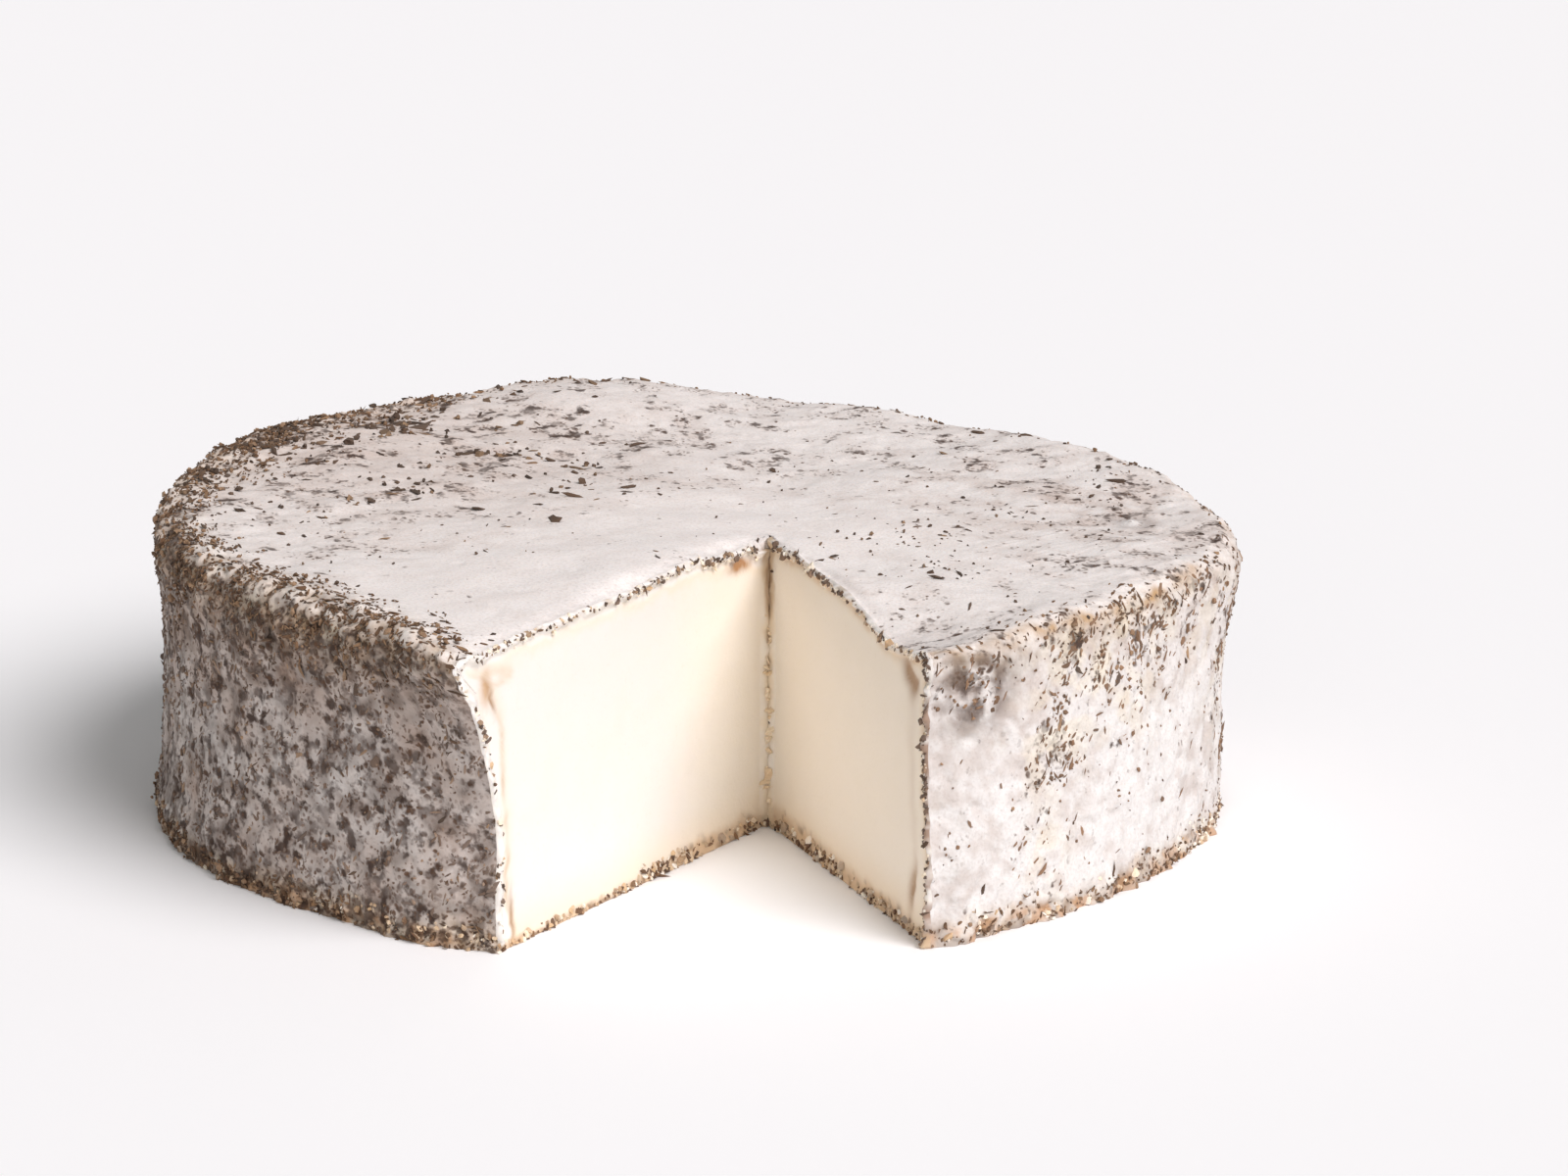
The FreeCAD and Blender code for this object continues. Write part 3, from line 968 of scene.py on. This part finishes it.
def paste_material():
    """Dense, moist curd."""
    material, tree, place, tone = toned_material("paste")
    cloud = noise_node(tree, place, 9 * MM, 4.0)
    grain = noise_node(tree, place, 0.7 * MM, 4.0)
    cloudy = mixed(tree, ranged(tree, cloud, 0.4, 0.8, 0.0, 0.22), tone, (0.86, 0.77, 0.62))
    colour = mixed(tree, ranged(tree, grain, 0.55, 0.8, 0.0, 0.12), cloudy, (0.70, 0.58, 0.42))
    bump = bump_node(tree, math_node(tree, "MULTIPLY_ADD", cloud, 1.5, grain), 0.07 * MM, 0.6)
    roughness = ranged(tree, cloud, 0.3, 0.7, 0.42, 0.62)
    finish_material(
        tree, colour, roughness, bump,
        {
            "Subsurface Weight": 0.35, "Subsurface Radius": (0.85, 0.85, 0.7),
            "Subsurface Scale": 3.0 * MM, "Specular IOR Level": 0.35,
        },
    )
    return material


def fleck_material(name, grain_size, share, under, roughness, bump_depth, settings):
    """Each fleck's own tone, with a little of another colour showing as grain."""
    material, tree, place, tone = toned_material(name)
    grain = noise_node(tree, place, grain_size, 3.0)
    colour = mixed(tree, ranged(tree, grain, 0.45, 0.8, 0.0, share), tone, under)
    finish_material(tree, colour, roughness, bump_node(tree, grain, bump_depth), settings)
    return material


def herb_material():
    """Dry crumbled leaf."""
    settings = {"Specular IOR Level": 0.3, "Sheen Weight": 0.05}
    return fleck_material("herbs", 0.35 * MM, 0.45, (0.17, 0.12, 0.075), 0.82, 0.08 * MM, settings)


def crumb_material():
    """Loose curd with a little rind in it."""
    settings = {
        "Subsurface Weight": 0.2, "Subsurface Radius": (1.0, 0.75, 0.5), "Subsurface Scale": MM,
        "Specular IOR Level": 0.3,
    }
    return fleck_material("crumbs", 0.5 * MM, 0.35, (0.50, 0.36, 0.22), 0.75, 0.1 * MM, settings)


# ---------------- herbs, grains and crumbs

LUMP_SIDES = 5
LUMP_POINTS = 2 + 2 * LUMP_SIDES


def lump_faces():
    """Triangles of one lump: a pole, two rings of five and a pole."""
    ring_a = [1 + k for k in range(LUMP_SIDES)]
    ring_b = [1 + LUMP_SIDES + k for k in range(LUMP_SIDES)]
    last, faces = LUMP_POINTS - 1, []
    for k in range(LUMP_SIDES):
        n = (k + 1) % LUMP_SIDES
        faces.append((0, ring_a[n], ring_a[k]))
        faces.append((ring_a[k], ring_a[n], ring_b[n]))
        faces.append((ring_a[k], ring_b[n], ring_b[k]))
        faces.append((ring_b[k], ring_b[n], last))
    return np.array(faces)


def lump_shapes(sizes, jolt, bend):
    """Points of many lumps about their own middles: long along x and thin along z."""
    count = len(sizes)
    turns = np.arange(LUMP_SIDES) * 2 * math.pi / LUMP_SIDES
    ring = np.stack((np.zeros(LUMP_SIDES), np.cos(turns), np.sin(turns)), axis=1)
    shape = np.zeros((LUMP_POINTS, 3))
    shape[0, 0], shape[-1, 0] = -1.0, 1.0
    shape[1 : 1 + LUMP_SIDES] = ring + np.array((-0.42, 0, 0))
    shape[1 + LUMP_SIDES : -1] = ring + np.array((0.42, 0, 0))
    lumps = np.repeat(shape[None], count, axis=0)
    lumps += rng.normal(0.0, jolt, lumps.shape)
    curve = rng.normal(0.0, bend, (count, 1))
    lumps[..., 1] += curve * (lumps[..., 0] ** 2 - 0.4) * sizes[:, :1] / sizes[:, 1:2]
    return lumps * sizes[:, None, :] / 2


class Flecks:
    """Lumps of one kind, gathered from several places and made into one piece."""

    def __init__(self, name, length, width, thick, jolt, bend, material, slot):
        self.name, self.material, self.slot = name, material, slot
        self.ranges = (length, width, thick)
        self.jolt, self.bend = jolt, bend
        self.batches = []

    def strew(self, centres, normals, ways, tones, size=1.0, proud=0.25):
        """Lays lumps on a surface, long side along ways, standing out by a share of their thickness."""
        count = len(centres)
        if not count:
            return
        low, high = np.array(self.ranges).T * MM
        sizes = rng.uniform(low, high, (count, 3)) * np.reshape(size, (-1, 1))
        lumps = lump_shapes(sizes, self.jolt, self.bend)
        tilt = rng.normal(0.0, 0.16, (count, 3))
        normal = unit(normals + tilt)
        along = unit(ways - (ways * normal).sum(-1, keepdims=True) * normal)
        across = np.cross(normal, along)
        axes = np.stack((along, across, normal), axis=1)
        placed = np.einsum("nij,njk->nik", lumps, axes)
        lift = normal * (sizes[:, 2:3] * proud)
        placed = placed + (centres + lift)[:, None, :]
        self.batches.append((placed, tones))

    def make(self):
        points = np.concatenate([p for p, _ in self.batches])
        points[..., 2] = np.maximum(points[..., 2], 0.0)
        tones = np.concatenate([t for _, t in self.batches])
        count = len(points)
        template = lump_faces()
        faces = (template[None] + (np.arange(count) * LUMP_POINTS)[:, None, None]).reshape(-1, 3)
        cells = math.ceil(math.sqrt(count))

        def cell_uv(mesh, corners):
            lump = corners // LUMP_POINTS
            cell = np.stack((lump % cells, lump // cells), axis=1)
            turn = (corners % LUMP_POINTS) / LUMP_POINTS * 2 * math.pi
            inner = 0.5 + 0.3 * np.stack((np.cos(turn), np.sin(turn)), axis=1)
            return (cell + inner) / cells

        piece = make_mesh(
            self.name, points.reshape(-1, 3), faces.tolist(), self.material, cell_uv,
            np.repeat(tones, LUMP_POINTS, axis=0),
        )
        piece.data.polygons.foreach_set("use_smooth", np.zeros(len(faces), bool))
        return piece


def herb_tones(count, dust, dusty=(0.40, 0.31, 0.26)):
    """Colours of flecks from near black to olive brown, some tan, greyed by dust from 0 to 1."""
    tones = blend(HERB_DARK, HERB_OLIVE, rng.random(count) ** 1.2)
    tones = blend(tones, HERB_TAN, np.where(rng.random(count) < 0.22, rng.uniform(0.3, 1.0, count), 0))
    return blend(tones, dusty, np.clip(dust, 0, 1) * rng.random(count) ** 0.7)


def scattered(grid, normals, density, rows=slice(None)):
    """Random places on the grid: grid positions of the cells, points and normals."""
    part, facing, amount = grid[rows], normals[rows], density[rows]
    a, b, c, d = part[:-1, :-1], part[1:, :-1], part[1:, 1:], part[:-1, 1:]
    area = np.linalg.norm(np.cross(b - a, d - a), axis=-1) / MM**2
    weight = (area * np.maximum(amount[:-1, :-1], 0)).ravel()
    count = int(weight.sum())
    cell = rng.choice(len(weight), count, p=weight / weight.sum())
    row, column = np.divmod(cell, part.shape[1] - 1)
    u, v = rng.random((2, count, 1))
    corners = [values[row, column] for values in (a, b, c, d)]
    points = between(between(corners[0], corners[1], u), between(corners[3], corners[2], u), v)
    start = rows.start or 0
    return (row + start, column), points, facing[row, column]


def side_ways(points, spread):
    """Directions on the side that lean as its streaks do, give or take spread in degrees."""
    angle = np.radians(around(points))
    level = np.stack((-np.sin(angle), np.cos(angle), np.zeros(len(points))), axis=1)
    lean = np.radians(rng.normal(57, spread, len(points)))[:, None]
    return level * np.cos(lean) + np.array((0.0, 0.0, 1.0)) * np.sin(lean)


def any_ways(count):
    return unit(rng.normal(0.0, 1.0, (count, 3)))


def strew_side(rind, leaves, sticks, grains):
    """Herbs pressed into the side, in slanting streaks, barer or dustier from place to place."""
    thick = by_azimuth(rind.azimuth, HERBS_ROUND)
    streaky = ease(rind.streak, 0.0, 0.7)
    clumps = ease(rough(rind.smooth, 6.0, 103), 0.0, 0.7)
    drift = between(rind.drift, 1.0, 0.6 * rind.shade)
    amount = thick * (0.10 + (1.9 * streaky + 1.3 * clumps) * (0.06 + drift)) * (0.3 + 2.3 * drift)
    amount = np.minimum(amount, 0.55) * (1 - rind.on_top) * (1 - 0.5 * rind.at_foot)
    for flecks, share, spread in ((leaves, 0.46, 30), (sticks, 0.10, 30), (grains, 0.60, 90)):
        at, points, normals = scattered(rind.grid, rind.normals, share * amount)
        dust = 0.15 + 0.60 * rind.shade[at] * (0.6 + 0.4 * noise(points, 9, 101))
        tones = herb_tones(len(points), dust)
        tones = blend(tones, SIDE_BROWN, 0.9 * (1 - rind.shade[at]) * rng.random(len(points)))
        sunk = rng.uniform(-0.35, 0.30, (len(points), 1))
        size = rng.lognormal(-0.15, 0.32, (len(points), 1))
        flecks.strew(points, normals, side_ways(points, spread), tones, size, sunk)


def strew_rim(rind, leaves, sticks, grains, crumbs):
    """The crust of herbs over the rim and the thinner one along the foot."""
    patchy = ease(rough(rind.smooth, 5, 105), -0.35, 0.5)
    heavy = ease(rind.crust, 0.3, 1.0)
    amount = rind.at_rim * (0.10 + 0.60 * rind.crust + 1.6 * heavy) * (0.20 + patchy) * 0.85
    amount += rind.at_foot * (0.30 + 0.80 * patchy) * (1.0 + 0.4 * rind.shade)
    for flecks, share in ((leaves, 0.62), (sticks, 0.14), (grains, 0.62), (crumbs, 0.13)):
        at, points, normals = scattered(rind.grid, rind.normals, share * amount)
        tones = herb_tones(len(points), 0.14, RIM_DUST)
        tones = blend(tones, RIM_BROWN, 0.6 * rng.random(len(points)))
        if flecks is crumbs:
            tones = blend(RIM_TAN, CRUST_DARK, rng.random(len(points)))
        proud = np.minimum(rng.gamma(1.5, 0.45, (len(points), 1)), 1.0)
        proud = proud * between(0.6, 1.2, heavy[at][:, None])
        size = rng.lognormal(-0.43, 0.3, (len(points), 1))
        flecks.strew(points, normals, side_ways(points, 60), tones, size, proud)


def strew_top(rind, leaves, sticks, grains):
    """Sparse flecks on the top, in loose drifts."""
    grid = rind.smooth
    drift = 8.5 * spot(grid, 137, 55, 30, 62) + 3.0 * spot(grid, -168, 55, 20, 56)
    drift += 3.6 * spot(grid, 5, 55, 40, 76) + 3.6 * spot(grid, -42, 55, 27, 50)
    clumps = ease(rough(grid, 10, 109), 0.0, 0.7)
    near_rim = bell(rind.past_rim, 0.0, 11 * MM) * rind.crust**2
    amount = 0.001 + 0.026 * drift * (0.10 + 1.4 * clumps) + 0.18 * near_rim * (0.3 + clumps)
    amount = amount * rind.on_top
    for flecks, share in ((leaves, 0.55), (sticks, 0.08), (grains, 0.8)):
        at, points, normals = scattered(rind.grid, rind.normals, share * amount, slice(0, TOP_ROWS + 12))
        tones = 0.8 * herb_tones(len(points), 0.15)
        sunk = rng.uniform(-0.1, 0.5, (len(points), 1))
        size = between(0.8, 1.3, ease(rind.azimuth[at], 60, 110))[:, None]
        size = size * rng.lognormal(0.0, 0.35, (len(points), 1))
        flecks.strew(points, normals, any_ways(len(points)), tones, size, sunk)


def edge_places(cut, first, last, count, deep, even):
    """Random places along a stretch of a cut's edge, up to deep inside it; more even is less clumped."""
    edge = cut.edge[first:last]
    chance = even + ease(rough(edge, 10, 117), -0.1, 0.6) ** 1.5
    step = np.linalg.norm(np.diff(cut.edge[first - 1 : last], axis=0), axis=1)
    chance = chance * step
    spot_at = first + rng.choice(len(chance), count, p=chance / chance.sum())
    ring = np.searchsorted(CUT_RINGS, rng.random(count) * deep)
    points = cut.points[np.minimum(ring, len(CUT_RINGS) - 1) * len(cut.edge) + spot_at]
    return points + rng.normal(0.0, 0.12 * MM, points.shape), np.repeat(cut.facing[None], count, axis=0)


def strew_cuts(cuts, leaves, grains, crumbs):
    """Pepper-like grains along the cut rind, and crumbs and herbs along the bottom and the tip."""
    for cut in cuts:
        halfway = (cut.skin_end + cut.floor_end) // 2
        top, wall = (6, TOP_ROWS), (TOP_ROWS, cut.skin_end)
        outer_floor, inner_floor = (cut.skin_end, halfway), (halfway, cut.floor_end)
        right = cut.side > 0
        many, some, few = (120, 80, 60) if right else (34, 16, 30)
        shallow, deeper = (1.9, 2.6) if right else (1.2, 1.4)
        # Kind, stretch of edge, how many, how far inside it in millimetres, size.
        places = (
            (grains, top, 120, 1.2, 1.2), (leaves, top, 22, 1.0, 0.8), (crumbs, top, 90, 1.7, 0.75),
            (grains, wall, many, 1.8, 1.2), (leaves, wall, some, 1.6, 1.0), (crumbs, wall, few, 2.0, 0.7),
            (grains, outer_floor, 28, shallow, 1.1), (leaves, outer_floor, 34, shallow, 1.0),
            (crumbs, outer_floor, 60, deeper, 1.0),
            (grains, inner_floor, 42, 2.4, 1.2), (leaves, inner_floor, 48, 2.4, 1.1),
            (crumbs, inner_floor, 90, 3.0, 1.0),
        )
        for flecks, stretch, count, deep, size in places:
            even = 0.5 if stretch == top else 0.18
            points, normals = edge_places(cut, *stretch, count, deep * MM, even)
            normals = normals + np.array((0.0, 0.0, 0.5))
            size = size * rng.lognormal(-0.15, 0.35, (count, 1))
            on_floor = stretch[0] >= cut.skin_end
            if flecks is crumbs:
                tones = crumb_tones(count, 0.8 if on_floor else 0.3)
            else:
                tones = herb_tones(count, 0.1 if on_floor else 0.3)
                tones = blend(tones, FLOOR_BROWN, (0.7 if on_floor else 0.0) * rng.random(count))
            flecks.strew(points, normals, any_ways(count), tones, size, -0.05)
    for flecks, count, size, high in ((grains, 4, 0.9, 50), (crumbs, 22, 1.1, 42), (crumbs, 14, 2.1, 26)):
        up = rng.random(count) ** 1.1 * high * MM
        x, y = from_tip(rng.uniform(RIGHT_CUT - 0.9, RIGHT_CUT, count), rng.uniform(1.4, 2.3, count) * MM)
        points = np.stack((x, y, up), axis=1)
        tones = herb_tones(count, 0.1)
        if flecks is crumbs:
            tones = blend(CREAMLINE, TIP_TAN, rng.random(count))
        flecks.strew(points, any_ways(count), any_ways(count), tones, size, 0.0)


def crumb_tones(count, brown):
    """Colours of crumbs: curd and rind, and a share of them crust from tan to dark brown."""
    curd = blend(PASTE, CREAMLINE, rng.random(count))
    crust = blend(CRUST_LIGHT, CRUST_DARK, rng.random(count) ** 1.6)
    return blend(curd, crust, (rng.random(count) < brown) * rng.uniform(0.6, 1.0, count))


def strew_foot(rind, crumbs):
    """Crumbs of curd and rind along the outer foot."""
    patchy = ease(rough(rind.smooth, 6, 113), -0.3, 0.5)
    amount = 0.34 * rind.at_foot * patchy
    at, points, normals = scattered(rind.grid, rind.normals, amount)
    size = rng.lognormal(-0.25, 0.3, (len(points), 1))
    brown = 0.45 + 0.5 * rind.shade[at]
    crumbs.strew(points, normals, any_ways(len(points)), crumb_tones(len(points), brown), size, 0.1)


# ---------------- studio

CAMERA_PLACE = Vector((-77.1, -800.1, 247.2)) * MM
CAMERA_WAY = Vector((0.11348, 0.96141, -0.25061))
CAMERA_ROLL_DEG = -0.3
CAMERA_LENS_MM = 102.3


def set_camera():
    data = bpy.data.cameras.new("camera")
    data.sensor_width = 36.0
    data.lens = CAMERA_LENS_MM
    data.clip_start, data.clip_end = 0.01, 100.0
    camera = stand("camera", data, CAMERA_WAY)
    camera.location = CAMERA_PLACE
    roll = Quaternion(CAMERA_WAY.normalized(), math.radians(CAMERA_ROLL_DEG))
    camera.rotation_quaternion = roll @ camera.rotation_quaternion
    bpy.context.scene.camera = camera


def add_sun(name, azimuth, elevation, strength, spread, colour=(1, 1, 1)):
    """A broad soft light from a direction, azimuth in degrees from +X towards +Y."""
    data = bpy.data.lights.new(name, "SUN")
    data.energy, data.angle, data.color = strength, math.radians(spread), colour
    a, e = math.radians(azimuth), math.radians(elevation)
    toward = Vector((math.cos(a) * math.cos(e), math.sin(a) * math.cos(e), math.sin(e)))
    stand(name, data, -toward)


def set_world(ambient):
    """White to the eye, and a dimmer even light on what stands in it."""
    world = bpy.data.worlds.new("studio")
    world.use_nodes = True
    tree = world.node_tree
    tree.nodes.clear()
    seen = node(tree, "LightPath").outputs["Is Camera Ray"]
    strength = node(
        tree, "MapRange", {"Value": seen, "To Min": ambient, "To Max": 1.05}
    ).outputs[0]
    background = node(tree, "Background", {"Color": (1, 1, 1, 1), "Strength": strength})
    node(tree, "OutputWorld", {"Surface": background.outputs[0]})
    bpy.context.scene.world = world


def add_floor():
    mesh = bpy.data.meshes.new("floor")
    half = 6.0
    corners = [(-half, -half, 0), (half, -half, 0), (half, half, 0), (-half, half, 0)]
    mesh.from_pydata(corners, [], [(0, 1, 2, 3)])
    material, tree = new_material("floor")
    finish_material(tree, (0.99, 0.99, 0.99, 1.0), 0.9, None, {"Specular IOR Level": 0.1})
    mesh.materials.append(material)
    floor = stand("floor", mesh)
    floor.location.z = -0.05 * MM


def set_studio():
    set_camera()
    set_world(0.24)
    add_sun("key", -49, 45, 2.87, 38, (1.0, 0.965, 0.985))
    add_sun("fill", -98, 24, 0.54, 50)
    add_floor()
    bpy.context.scene.view_settings.view_transform = "Standard"


# ---------------- making it


def make_cheese():
    rind = Rind()
    skin_material, curd_material = rind_material(), paste_material()
    top_rows = range(TOP_ROWS + 1)
    rind_piece("rind_top", rind, top_rows, [column_step(r) for r in top_rows], skin_material, flat_uv)
    side_rows = range(TOP_ROWS, TOP_ROWS + SIDE_ROWS + 1)
    rind_piece("rind_side", rind, side_rows, [1] * len(side_rows), skin_material, strip_uv)
    base_piece(rind, skin_material)
    right, left = Cut(rind, 0, 1), Cut(rind, -1, -1)
    paste_piece(right, left, curd_material)

    herbs = herb_material()
    leaves = Flecks("herb_leaves", (0.9, 2.4), (0.3, 0.75), (0.20, 0.40), 0.22, 0.14, herbs, "herbs")
    sticks = Flecks("herb_stalks", (1.6, 3.4), (0.22, 0.40), (0.2, 0.34), 0.14, 0.07, herbs, "herbs")
    grains = Flecks("herb_grains", (0.35, 1.0), (0.3, 0.75), (0.3, 0.6), 0.20, 0.0, herbs, "herbs")
    crumbs = Flecks("curd_crumbs", (0.6, 1.9), (0.5, 1.3), (0.4, 1.0), 0.18, 0.0, crumb_material(), "paste")
    strew_side(rind, leaves, sticks, grains)
    strew_rim(rind, leaves, sticks, grains, crumbs)
    strew_top(rind, leaves, sticks, grains)
    strew_cuts((right, left), leaves, grains, crumbs)
    strew_foot(rind, crumbs)
    for flecks in (leaves, sticks, grains, crumbs):
        flecks.make()


make_cheese()
set_studio()
